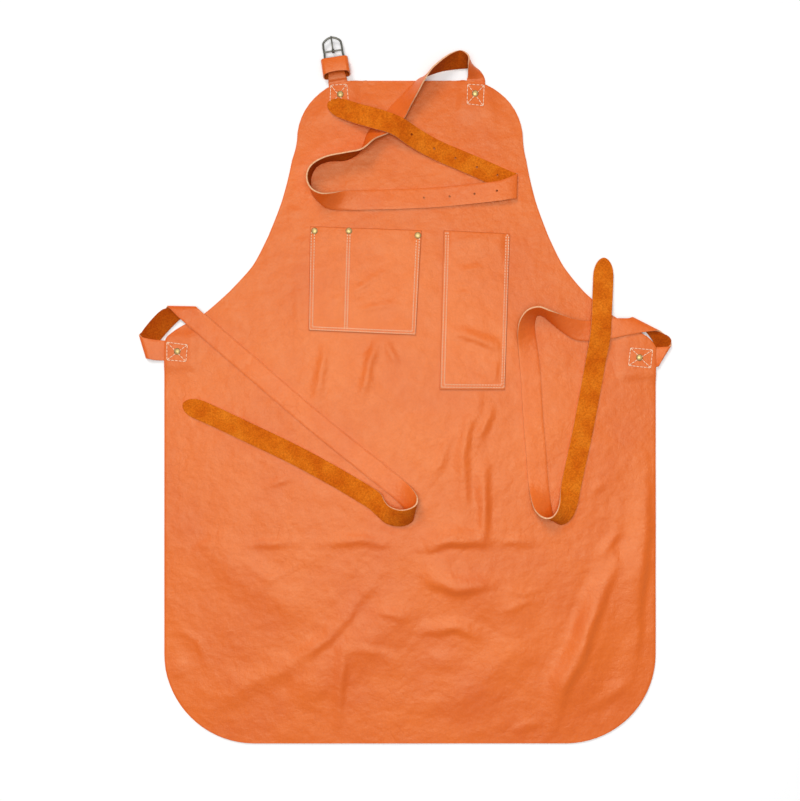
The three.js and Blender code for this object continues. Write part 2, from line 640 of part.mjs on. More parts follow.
const neckStrap = drilled(strapGeometry(NECK_STRAP, TIP_LENGTH), PUNCHES, PUNCH_R);
const STRAPS = [
  ["neck_strap", neckStrap, "rivet_neck_right"],
  ["waist_strap_left", strapGeometry(WAIST_STRAP_LEFT, TIP_LENGTH), "rivet_waist_left"],
  ["waist_strap_right", strapGeometry(WAIST_STRAP_RIGHT, TIP_LENGTH), "rivet_waist_right"],
];
for (const [name, geometry, rivet] of STRAPS) {
  apron.add(piece(name, drilled(geometry, rivetsOf(rivet), RIVET_HOLE_R), STRAP_LEATHER));
}

for (const { name, x, y, onPocket } of RIVETS) {
  const layersTop = onPocket ? POCKET_Z + PANEL_THICK : SEAT_LIFT + PANEL_THICK;
  const rivet = piece(name, rivetGeometry(layersTop + GAP), OLD_BRASS);
  rivet.position.set(x, y, 0);
  apron.add(rivet);
}

// The buckle end: everything in the buckle's own turned frame
const buckle = new THREE.Group();
buckle.position.set(BUCKLE_X, BUCKLE_Y, BUCKLE_Z);
buckle.rotation.z = BUCKLE_TURN;
buckle.updateMatrixWorld();
const shortStrapHole = rivetsOf("rivet_neck_left").map(({ x, y }) =>
  buckle.worldToLocal(new THREE.Vector3(x, y, BUCKLE_Z)),
);
const shortStrap = drilled(buckleStrapGeometry(), shortStrapHole, RIVET_HOLE_R);
buckle.add(piece("buckle_strap", shortStrap, STRAP_LEATHER));
buckle.add(piece("keeper_loop", keeperGeometry(), STRAP_LEATHER));
buckle.add(piece("buckle_frame", frameGeometry(), DARK_STEEL));
buckle.add(piece("buckle_prong", prongGeometry(), DARK_STEEL));
apron.add(buckle);

export default apron;
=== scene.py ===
import math

import bmesh
import bpy
from mathutils import Matrix, Vector, noise


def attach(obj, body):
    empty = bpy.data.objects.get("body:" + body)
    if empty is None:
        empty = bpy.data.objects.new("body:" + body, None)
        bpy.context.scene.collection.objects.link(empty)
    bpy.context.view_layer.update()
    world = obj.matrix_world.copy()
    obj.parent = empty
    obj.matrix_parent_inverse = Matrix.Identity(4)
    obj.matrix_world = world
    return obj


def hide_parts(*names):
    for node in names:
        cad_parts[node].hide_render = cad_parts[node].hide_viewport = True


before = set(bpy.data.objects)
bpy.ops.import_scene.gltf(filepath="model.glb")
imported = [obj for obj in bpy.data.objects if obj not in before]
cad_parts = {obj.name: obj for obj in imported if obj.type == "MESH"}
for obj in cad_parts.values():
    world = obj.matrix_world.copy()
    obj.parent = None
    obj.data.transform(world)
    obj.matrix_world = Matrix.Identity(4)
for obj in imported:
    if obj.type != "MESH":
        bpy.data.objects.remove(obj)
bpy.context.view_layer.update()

# Camera and studio. The apron lies on a plain pale floor and is seen from straight above, a
# metre and a half up; window light slants in from its neck end, under a broad bright ceiling.
CAMERA_AT = Vector((-0.0121, 0.0140, 1.5))
FIELD = 0.97289  # width of floor in the picture
SENSOR = 36
camera = bpy.data.objects.new("camera", bpy.data.cameras.new("camera"))
camera.data.sensor_width = SENSOR
camera.data.lens = SENSOR * CAMERA_AT.z / FIELD
camera.location = CAMERA_AT
bpy.context.collection.objects.link(camera)
bpy.context.scene.camera = camera
bpy.context.scene.view_settings.view_transform = "Standard"

world = bpy.data.worlds.new("white_room")
bpy.context.scene.world = world
world.use_nodes = True
background = world.node_tree.nodes["Background"]
background.inputs["Color"].default_value = (1, 1, 1, 1)
background.inputs["Strength"].default_value = 0.38

window = bpy.data.objects.new("window_light", bpy.data.lights.new("window_light", "SUN"))
window.data.energy = 1.2
window.data.angle = math.radians(22)
window.rotation_euler = Vector((0.40, -0.80, -0.86)).to_track_quat("-Z", "Y").to_euler()
window.visible_glossy = False
bpy.context.collection.objects.link(window)
ceiling = bpy.data.objects.new("ceiling_light", bpy.data.lights.new("ceiling_light", "AREA"))
ceiling.data.shape = "DISK"
ceiling.data.size = 1.6
ceiling.data.energy = 28
ceiling.location = (-0.1, 0.05, 2.3)
ceiling.visible_camera = False
bpy.context.collection.objects.link(ceiling)

MM = 0.001
FLOOR_HALF = 40
FLOOR_DROP = 0.4 * MM
floor_bm = bmesh.new()
bmesh.ops.create_grid(floor_bm, x_segments=1, y_segments=1, size=FLOOR_HALF)
bmesh.ops.translate(floor_bm, verts=floor_bm.verts, vec=(0, 0, -FLOOR_DROP))
floor_mesh = bpy.data.meshes.new("floor")
floor_bm.to_mesh(floor_mesh)
floor_bm.free()
floor = bpy.data.objects.new("floor", floor_mesh)
bpy.context.collection.objects.link(floor)
floor_paint = bpy.data.materials.new("pale_floor")
floor_paint.use_nodes = True
floor_shader = floor_paint.node_tree.nodes["Principled BSDF"]
floor_shader.inputs["Base Color"].default_value = (0.96, 0.96, 0.96, 1)
floor_shader.inputs["Roughness"].default_value = 0.9
floor_mesh.materials.append(floor_paint)

# Panel. One piece of thin smooth leather makes bib and skirt: straight sides, round corners and
# two hollow armholes, cut with a raw edge. It lies slack, so low folds and creases cross it.
PANEL_THICK = 1.4 * MM
SIDE_X = 298 * MM
HEM_Y = -402 * MM
HEM_CORNER_R = 109 * MM
BIB_TOP_Y = 402 * MM
BIB_CORNER_R = 72 * MM
BIB_HALF_WIDTH = 137 * MM
ARMHOLE = (  # y, left x, right x
    (82, -298, 296), (96, -289, 280), (119, -250, 243), (146, -219, 211), (177, -191, 186),
    (213, -172, 168), (257, -155, 152), (306, -143, 141), (330, -137, 137),
)
FOLDS = (  # from x, y to x, y, rise, half width
    (-120, -330, -20, -250, 2.5, 38), (40, -190, 120, -240, 2.5, 40), (200, -330, 262, -190, 3, 40),
    (-230, -170, -150, -235, 2, 36), (60, -345, 130, -290, 2, 36),
)
SEAT_LIFT = 2.1 * MM
SEAT_RAMP = 14 * MM
SEATS = ((80, 388, 14, 21), (-86, 388, 14, 21), (-284, 74, 18, 15), (284, 72, 22, 24))  # x, y, half sizes
CREASES = (  # rise, reach to the left of the line and to its right, points x, y of the line
    (4.3, 26, 10, ((18, -166), (49, -157), (100, -158))), (1.6, 12, 7, ((109, -159), (152, -157))),
    (2.3, 14, 9, ((-109, -157), (-61, -155), (-18, -163))), (1.6, 12, 7, ((-200, -162), (-134, -159))),
    (1.0, 10, 6, ((-261, -162), (-237, -162))), (3.5, 22, 9, ((18, -202), (55, -216), (100, -209))),
    (2.6, 18, 8, ((12, -267), (55, -262), (83, -272))), (1.9, 14, 7, ((18, -300), (63, -301))),
    (1.3, 10, 6, ((-39, -243), (-2, -251))), (2.3, 8, 16, ((74, 12), (66, -52), (68, -121))),
    (3.2, 8, 14, ((92, -64), (90, -159))), (1.9, 8, 10, ((100, 8), (83, -40))),
    (2.8, 9, 22, ((-43, -207), (-97, -277), (-170, -326), (-249, -340))),
    (1.9, 8, 12, ((-194, -335), (-237, -357))), (2.2, 8, 14, ((-81, -283), (-85, -377))),
    (1.8, 12, 7, ((-79, -289), (-30, -295), (-10, -311))),
    (5.4, 12, 26, ((247, -182), (227, -231), (214, -277), (189, -326), (177, -377))),
    (1.9, 7, 12, ((257, -141), (231, -177))),
    (3.5, 8, 30, ((288, -65), (286, -150), (279, -233), (271, -314))),
    (2.4, 12, 7, ((-297, -321), (-265, -304))), (1.1, 9, 6, ((115, -214), (140, -223), (164, -216))),
    (1.0, 8, 6, ((109, -243), (158, -228))), (1.0, 9, 6, ((-176, -92), (-140, -76))),
    (2.2, 9, 8, ((-39, 90), (-46, 63), (-60, 12))), (1.6, 7, 7, ((-32, 89), (-15, 56))),
    (1.8, 9, 9, ((-102, 86), (-117, 8))), (1.0, 8, 6, ((-150, 246), (-128, 240))),
    (1.2, 7, 9, ((83, 20), (80, -16))), (1.3, 7, 10, ((55, -24), (24, -85))),
    (1.1, 9, 6, ((222, -97), (240, -86))), (0.8, 8, 6, ((-206, -180), (-170, -204), (-134, -186))),
    (1.3, 12, 7, ((128, -388), (158, -377))), (1.3, 12, 7, ((231, -350), (261, -332))),
    (1.3, 12, 7, ((-170, -350), (-134, -346))), (1.3, 14, 8, ((12, -356), (49, -352))),
    (2.0, 14, 7, ((216, -332), (271, -345))), (1.2, 9, 6, ((207, -359), (234, -355))),
    (1.0, 8, 8, ((-140, 150), (-131, 96))), (1.0, 9, 6, ((-283, -262), (-258, -278), (-246, -310))),
)
CREASE_END = 0.06  # part of the half wave that is cut off at either end of a crease
CREASE_WANDER = 3 * MM
SLACK_RISE = 0.9 * MM
SLACK_FADE = 30 * MM
BROAD_WAVES, SHORT_WAVES = (7, 3.1), (17, 8.7)  # waves to the metre, layer of the noise
WANDER_WAVES, CRUMPLE_WAVES, PATCH_WAVES = (30, 1.7), (22, 5.5), (4.5, 9.1)
CRUMPLE_RISE = 0.28 * MM
CRUMPLE_SHARPNESS = 2.4
PATCH_CONTRAST, PATCH_SHARE = 1.6, 0.35
PANEL_SOFT_EDGE = 0.3 * MM
SHARP_CORNER = math.radians(50)


def smooth(t):
    """An even step from 0 to 1, level at both ends."""
    t = min(max(t, 0), 1)
    return t * t * (3 - 2 * t)


def along_curve(values, at):
    """A smooth curve through the values, at a position counted in values."""
    i = min(max(int(at), 0), len(values) - 2)
    t = at - i
    p0, p1, p2, p3 = (values[min(max(k, 0), len(values) - 1)] for k in (i - 1, i, i + 1, i + 2))
    bend = (2 * p0 - 5 * p1 + 4 * p2 - p3) * t * t + (3 * p1 - p0 - 3 * p2 + p3) * t ** 3
    return 0.5 * (2 * p1 + (p2 - p0) * t + bend)


def panel_edges(y):
    """The panel's left and right x at a height."""
    if y < HEM_Y + HEM_CORNER_R:
        drop = min((HEM_Y + HEM_CORNER_R - y) / HEM_CORNER_R, 1)
        x = SIDE_X - HEM_CORNER_R + HEM_CORNER_R * math.sqrt(1 - drop * drop)
        return -x, x
    if y > BIB_TOP_Y - BIB_CORNER_R:
        rise = min((y - BIB_TOP_Y + BIB_CORNER_R) / BIB_CORNER_R, 1)
        x = BIB_HALF_WIDTH - BIB_CORNER_R + BIB_CORNER_R * math.sqrt(1 - rise * rise)
        return -x, x
    if y < ARMHOLE[0][0] * MM:
        return -SIDE_X, SIDE_X
    k = max(i for i in range(len(ARMHOLE) - 1) if ARMHOLE[i][0] * MM <= y + 1e-9)
    at = k + (y - ARMHOLE[k][0] * MM) / ((ARMHOLE[k + 1][0] - ARMHOLE[k][0]) * MM)
    return tuple(along_curve([row[side] * MM for row in ARMHOLE], at) for side in (1, 2))


def off_line(x, y, start, end):
    """How far a point lies to the left of the line between two points, and how far along it is."""
    start, run = Vector(start) * MM, (Vector(end) - Vector(start)) * MM
    to = Vector((x, y)) - start
    along = min(max(to.dot(run) / run.length_squared, 0), 1)
    away = (to - run * along).length
    return math.copysign(away, run.cross(to)), along


def ridge(x, y, rise, left, right, line):
    """The height at a point of a ridge along a line of points, which dies away at both ends."""
    spans = [(*off_line(x, y, a, b), i) for i, (a, b) in enumerate(zip(line, line[1:]))]
    away, along, i = min(spans, key=lambda span: abs(span[0]))
    fade = math.sin(math.pi * (CREASE_END + (1 - 2 * CREASE_END) * (i + along) / len(spans)))
    return rise * MM * fade * smooth(1 - abs(away) / ((left if away > 0 else right) * MM))


def seat_lift(x, y):
    """How far the panel is lifted by the strap ends sewn behind it."""
    lift = 0
    for sx, sy, half_x, half_y in SEATS:
        out = math.hypot(max(abs(x - sx * MM) - half_x * MM, 0), max(abs(y - sy * MM) - half_y * MM, 0))
        lift = max(lift, SEAT_LIFT * smooth(1 - out / SEAT_RAMP))
    return lift


def waves(x, y, kind):
    """Smooth uneven waves over the leather, from about -1 to 1; the kind is their number and layer."""
    per_metre, layer = kind
    return noise.noise(Vector((x * per_metre, y * per_metre, layer)))


def slack(x, y):
    """Low waves of the slack leather, shared by everything that lies on it."""
    height = waves(x, y, BROAD_WAVES) + 0.5 * waves(x, y, SHORT_WAVES)
    return SLACK_RISE * (height * 0.5 + 0.5) * smooth((BIB_TOP_Y - y) / SLACK_FADE)


def creases(x, y):
    """Folds and creases of the bare leather, between the pieces that lie on it."""
    height = 0
    for x0, y0, x1, y1, rise, half in FOLDS:
        height += rise * MM * smooth(1 - abs(off_line(x, y, (x0, y0), (x1, y1))[0]) / (half * MM))
    wander = CREASE_WANDER * waves(x, y, WANDER_WAVES)
    for crease in CREASES:
        height += ridge(x + wander, y - wander, *crease)
    crumple = 1 - abs(waves(x, y, CRUMPLE_WAVES)) * CRUMPLE_SHARPNESS
    where = smooth(waves(x, y, PATCH_WAVES) * PATCH_CONTRAST + PATCH_SHARE)
    return height + CRUMPLE_RISE * max(crumple, 0) ** 2 * where


def panel_top(x, y):
    """The height of the panel's grain side."""
    return PANEL_THICK + seat_lift(x, y) + slack(x, y) + creases(x, y)


def shaped_grid(across, along, place):
    """A flat grid whose points are put where place(s, t) says, s across and t along, from 0 to 1."""
    bm = bmesh.new()
    bm.loops.layers.uv.new("cut")
    bmesh.ops.create_grid(bm, x_segments=across, y_segments=along, size=1, calc_uvs=True)
    for vert in bm.verts:
        vert.co = place((vert.co.x + 1) / 2, (vert.co.y + 1) / 2)
    bm.normal_update()
    return bm


def finished(name, bm, materials, body):
    """The bmesh as a smooth object at the origin, riding on a body."""
    mesh = bpy.data.meshes.new(name)
    for face in bm.faces:
        face.smooth = True
    bm.to_mesh(mesh)
    bm.free()
    for material in materials:
        mesh.materials.append(material)
    obj = bpy.data.objects.new(name, mesh)
    bpy.context.collection.objects.link(obj)
    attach(obj, body)
    return obj


def thickened(obj, thick, offset, soft_edge):
    """Give a sheet its wall and a soft rim painted dark as shade; back, cut edge and rim take the next
    three materials.
    """
    wall = obj.modifiers.new("wall", "SOLIDIFY")
    wall.thickness = thick
    wall.offset = offset
    wall.material_offset = 1
    wall.material_offset_rim = 2
    edge = obj.modifiers.new("edge", "BEVEL")
    edge.width = soft_edge
    edge.segments = 2
    # the bevel rim takes the fourth material, a dark painted shade along every edge
    edge.material = 3
    edge.limit_method = "ANGLE"
    edge.angle_limit = SHARP_CORNER


def new_finish(name, roughness, specular):
    """A new material, its nodes, links and shader, and the place on the object."""
    material = bpy.data.materials.new(name)
    material.use_nodes = True
    nodes, links = material.node_tree.nodes, material.node_tree.links
    shader = nodes["Principled BSDF"]
    shader.inputs["Roughness"].default_value = roughness
    shader.inputs["Specular IOR Level"].default_value = specular
    where = nodes.new("ShaderNodeTexCoord").outputs["Object"]
    return material, nodes, links, shader, where


def noise_of(nodes, links, where, scale, detail, roughness=0.55):
    """An uneven pattern over the object."""
    node = nodes.new("ShaderNodeTexNoise")
    node.inputs["Scale"].default_value = scale
    node.inputs["Detail"].default_value = detail
    node.inputs["Roughness"].default_value = roughness
    links.new(where, node.inputs["Vector"])
    return node.outputs["Fac"]


def ramp_of(nodes, links, value, stops):
    """A value turned into colours, by stops of (position, colour)."""
    node = nodes.new("ShaderNodeValToRGB")
    while len(node.color_ramp.elements) < len(stops):
        node.color_ramp.elements.new(0.5)
    for element, (at, colour) in zip(node.color_ramp.elements, stops):
        element.position = at
        element.color = (*colour, 1)
    links.new(value, node.inputs["Fac"])
    return node.outputs["Color"]


def mixed(nodes, links, kind, amount, first, second):
    """Two colours blended, the second over the first."""
    node = nodes.new("ShaderNodeMix")
    node.data_type = "RGBA"
    node.blend_type = kind
    node.inputs["Factor"].default_value = amount
    links.new(first, node.inputs["A"])
    links.new(second, node.inputs["B"])
    return node.outputs["Result"]


def bumped(nodes, links, shader, layers):
    """Stack bump layers of (height, strength, depth) onto the shader's normal."""
    normal = None
    for height, strength, depth in layers:
        node = nodes.new("ShaderNodeBump")
        node.inputs["Strength"].default_value = strength
        node.inputs["Distance"].default_value = depth
        links.new(height, node.inputs["Height"])
        if normal:
            links.new(normal, node.inputs["Normal"])
        normal = node.outputs["Normal"]
    links.new(normal, shader.inputs["Normal"])


def grain_leather(name, light, middle, deep):
    """Smooth dyed leather with a satin finish: cloudy orange, fine pebbled grain, wrinkles and veins."""
    material, nodes, links, shader, where = new_finish(name, 0.46, 0.68)
    shader.inputs["Specular Tint"].default_value = (1, 0.95, 0.62, 1)
    cloud = noise_of(nodes, links, where, 9, 4)
    tone = ramp_of(nodes, links, cloud, ((0.28, deep), (0.5, middle), (0.72, light)))
    speckle = noise_of(nodes, links, where, 420, 2)
    fleck = ramp_of(nodes, links, speckle, ((0.3, (0.9, 0.84, 0.8)), (0.7, (1, 1, 1))))
    bent = nodes.new("ShaderNodeMix")
    bent.data_type = "VECTOR"
    bent.inputs["Factor"].default_value = 0.06
    warp = nodes.new("ShaderNodeTexNoise")
    warp.inputs["Scale"].default_value = 30
    warp.inputs["Detail"].default_value = 6
    links.new(where, warp.inputs["Vector"])
    links.new(where, bent.inputs["A"])
    links.new(warp.outputs["Color"], bent.inputs["B"])
    vein = nodes.new("ShaderNodeTexVoronoi")
    vein.feature = "DISTANCE_TO_EDGE"
    vein.inputs["Scale"].default_value = 58
    links.new(bent.outputs["Result"], vein.inputs["Vector"])
    line = ramp_of(nodes, links, vein.outputs["Distance"], ((0.0, (0, 0, 0)), (0.07, (1, 1, 1))))
    patches = noise_of(nodes, links, where, 17, 4)
    some = ramp_of(nodes, links, patches, ((0.45, (1, 1, 1)), (0.68, (0, 0, 0))))
    veins = mixed(nodes, links, "LIGHTEN", 1.0, line, some)
    stain = ramp_of(nodes, links, veins, ((0.0, (0.84, 0.70, 0.55)), (1.0, (1, 1, 1))))
    dyed = mixed(nodes, links, "MULTIPLY", 0.7, tone, fleck)
    links.new(mixed(nodes, links, "MULTIPLY", 0.26, dyed, stain), shader.inputs["Base Color"])
    gloss = nodes.new("ShaderNodeMapRange")
    gloss.inputs["To Min"].default_value = 0.32
    gloss.inputs["To Max"].default_value = 0.48
    links.new(noise_of(nodes, links, where, 60, 3), gloss.inputs["Value"])
    links.new(gloss.outputs["Result"], shader.inputs["Roughness"])
    pebble = nodes.new("ShaderNodeTexVoronoi")
    pebble.inputs["Scale"].default_value = 850
    links.new(where, pebble.inputs["Vector"])
    wrinkle = noise_of(nodes, links, where, 48, 6, 0.62)
    crumple = noise_of(nodes, links, where, 19, 3)
    bumped(nodes, links, shader, (
        (pebble.outputs["Distance"], 0.3, 0.0003), (wrinkle, 0.42, 0.0028), (crumple, 0.5, 0.0046),
        (veins, 0.2, 0.0004),
    ))
    return material


def suede_leather(name, light, middle, deep, sewn_end_painted_shade):
    """The flesh side: brushed brown nap, blotched by handling, with painted shade darkening it towards a
    strap's sewn end.
    """
    material, nodes, links, shader, where = new_finish(name, 0.95, 0.1)
    handling = noise_of(nodes, links, where, 42, 6, 0.68)
    blotch = ramp_of(nodes, links, handling, ((0.33, deep), (0.5, middle), (0.66, light)))
    fluff = noise_of(nodes, links, where, 460, 5, 0.75)
    nap = ramp_of(nodes, links, fluff, ((0.36, (0.60, 0.53, 0.42)), (0.60, (1, 1, 1))))
    brushed = mixed(nodes, links, "MULTIPLY", 0.85, blotch, nap)
    length = nodes.new("ShaderNodeSeparateXYZ")
    links.new(nodes.new("ShaderNodeTexCoord").outputs["UV"], length.inputs["Vector"])
    # painted shade: the flesh side darkens towards a strap's sewn end, where its loops stand
    painted_shade_to_sewn_end = ramp_of(nodes, links, length.outputs["Y"], ((0.5, sewn_end_painted_shade), (0.68, (1, 1, 1))))
    links.new(mixed(nodes, links, "MULTIPLY", 1.0, brushed, painted_shade_to_sewn_end), shader.inputs["Base Color"])
    bumped(nodes, links, shader, ((noise_of(nodes, links, where, 700, 3), 0.5, 0.0006),))
    return material


def cut_edge(name, pale, dark):
    """The raw cut edge's finish, pale fibres under the dye; given dark tones it is painted shade on rims
    and holes.
    """
    material, nodes, links, shader, where = new_finish(name, 0.8, 0.2)
    fibre = noise_of(nodes, links, where, 600, 2)
    links.new(ramp_of(nodes, links, fibre, ((0.3, dark), (0.7, pale))), shader.inputs["Base Color"])
    bumped(nodes, links, shader, ((fibre, 0.3, 0.0003),))
    return material


PANEL_GRAIN = grain_leather("panel_grain", (0.77, 0.142, 0.012), (0.73, 0.124, 0.009), (0.68, 0.100, 0.006))
SUEDE_TONES = ((0.78, 0.205, 0.012), (0.70, 0.155, 0.006), (0.60, 0.108, 0.003))
FLESH = suede_leather("flesh_side", *SUEDE_TONES, (1, 1, 1))
PANEL_EDGE = cut_edge("panel_cut_edge", (0.72, 0.30, 0.15), (0.55, 0.17, 0.06))
# painted shade: a dark rim standing in for the shadow along the edges of the panel, pockets and straps
PAINTED_SHADE_RIM = cut_edge("painted_shade_rim", (0.54, 0.092, 0.012), (0.40, 0.055, 0.007))
PANEL_COLUMNS = 170
HEM_ROWS, SIDE_ROWS, ARMHOLE_ROWS, BIB_ROWS = 18, 110, 74, 12
QUARTER = math.pi / 2
panel_rows = [HEM_Y + HEM_CORNER_R * (1 - math.cos(QUARTER * i / HEM_ROWS)) for i in range(HEM_ROWS)]
SIDE_FOOT, SIDE_TOP, BIB_FOOT = HEM_Y + HEM_CORNER_R, ARMHOLE[0][0] * MM, BIB_TOP_Y - BIB_CORNER_R
panel_rows += [SIDE_FOOT + (SIDE_TOP - SIDE_FOOT) * i / SIDE_ROWS for i in range(SIDE_ROWS)]
panel_rows += [SIDE_TOP + (BIB_FOOT - SIDE_TOP) * i / ARMHOLE_ROWS for i in range(ARMHOLE_ROWS)]
panel_rows += [BIB_FOOT + BIB_CORNER_R * math.sin(QUARTER * i / BIB_ROWS) for i in range(BIB_ROWS + 1)]


def panel_point(s, t):
    """A point of the panel's grain side, s across from the left and t up from the hem."""
    y = panel_rows[round(t * (len(panel_rows) - 1))]
    left, right = panel_edges(y)
    x = left + (right - left) * s
    return Vector((x, y, panel_top(x, y)))


panel = finished(
    "panel", shaped_grid(PANEL_COLUMNS, len(panel_rows) - 1, panel_point),
    (PANEL_GRAIN, FLESH, PANEL_EDGE, PAINTED_SHADE_RIM), "apron",
)
thickened(panel, PANEL_THICK, -1, PANEL_SOFT_EDGE)
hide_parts("apron_body")

# Pockets. Two plain pieces of the panel's leather lie on the bib, sewn down with a double row of
# pale thread at the sides, the bottom and the wide one's divider; the mouths stand up a hair.
POCKET_GAP = 0.3 * MM
POCKET_TOP = 2 * PANEL_THICK + POCKET_GAP
POCKET_COLUMNS, POCKET_ROWS = 64, 72
POCKET_SOFT_EDGE = 0.35 * MM
MOUTH_RISE = 1.1 * MM
MOUTH_FOOT = 0.75
POCKET_PUFF = 0.4 * MM
PUFF_WAVES = (26, 4.2)
SEAM_APART = 0.1
POCKETS = {  # corners x, y: top left, top right, bottom right, bottom left; seams across, 0 to 1
    "pocket_tools": (((-121, 225), (14, 220), (7, 93), (-123, 99)), (0.02, 0.35, 0.98)),
    "pocket_tall": (((41, 220), (121, 216), (115, 27), (36, 27)), (0.04, 0.96)),
}
POCKET_CREASES = (  # rise, reach to the left of the line and to its right, points x, y of the line
    (1.9, 14, 7, ((50, 97), (80, 89), (114, 74))), (0.9, 6, 8, ((106, 64), (101, 32))),
    (0.9, 8, 6, ((60, 170), (90, 176))), (0.7, 8, 6, ((-80, 138), (-24, 174))),
    (0.6, 8, 6, ((-70, 122), (-12, 131))), (0.6, 8, 5, ((50, 205), (95, 211))),
    (0.6, 7, 5, ((52, 140), (72, 146))),
)
POCKET_TONES = ((0.78, 0.148, 0.014), (0.75, 0.131, 0.010), (0.70, 0.108, 0.007))
POCKET_GRAIN = grain_leather("pocket_grain", *POCKET_TONES)


def pocket_point(corners, seams, s, t):
    """A point of a pocket's face, s across from the left and t up from the bottom."""
    top_left, top_right, low_right, low_left = (Vector(corner) * MM for corner in corners)
    x, y = low_left.lerp(low_right, s).lerp(top_left.lerp(top_right, s), t)
    free = smooth(min(abs(s - seam) for seam in seams) / SEAM_APART)
    loose = MOUTH_RISE * smooth((t - MOUTH_FOOT) / (1 - MOUTH_FOOT))
    loose += sum(ridge(x, y, *crease) for crease in POCKET_CREASES)
    loose += POCKET_PUFF * max(waves(x, y, PUFF_WAVES), 0)
    free *= smooth(t / SEAM_APART)
    return Vector((x, y, POCKET_TOP + slack(x, y) + loose * free))


for name, (corners, seams) in POCKETS.items():
    pocket_bm = shaped_grid(POCKET_COLUMNS, POCKET_ROWS, lambda s, t: pocket_point(corners, seams, s, t))
    finish = (POCKET_GRAIN, FLESH, PANEL_EDGE, PAINTED_SHADE_RIM)
    pocket = finished(name + "_piece", pocket_bm, finish, "apron")
    thickened(pocket, PANEL_THICK, -1, POCKET_SOFT_EDGE)
    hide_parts(name)
    left, right = (pocket_point(corners, seams, s, 0.5) for s in (0, 1))
    low, high = (pocket_point(corners, seams, 0.5, t) for t in (0, 1))

# Straps. Long strips of thicker leather, orange grain on one side and brown flesh on the other,
# with pale cut edges. Each is sewn and riveted behind a corner, comes out past the edge, turns
# over and lies on the front, standing on edge where it turns back.
STRAP_THICK = 1.8 * MM
STEPS_PER_ROW = 8
TIP_STEPS = 40
ACROSS = 8
TIP_LENGTH = 24 * MM
TIP_FULLNESS = 2.4
TIP_ROUNDNESS = 1.8
TIP_LEAST = 0.05
STRAP_SOFT_EDGE = 0.45 * MM
STRAP_TONES = ((0.78, 0.142, 0.012), (0.75, 0.125, 0.009), (0.69, 0.098, 0.006))
STRAP_GRAIN = grain_leather("strap_grain", *STRAP_TONES)
# the strap's flesh side takes painted shade towards its sewn end
STRAP_FLESH = suede_leather("strap_flesh", *SUEDE_TONES, (0.62, 0.45, 0.30))
STRAP_EDGE = cut_edge("strap_cut_edge", (0.84, 0.50, 0.29), (0.68, 0.31, 0.14))
STRAP_FINISH = (STRAP_GRAIN, STRAP_FLESH, STRAP_EDGE, PAINTED_SHADE_RIM)
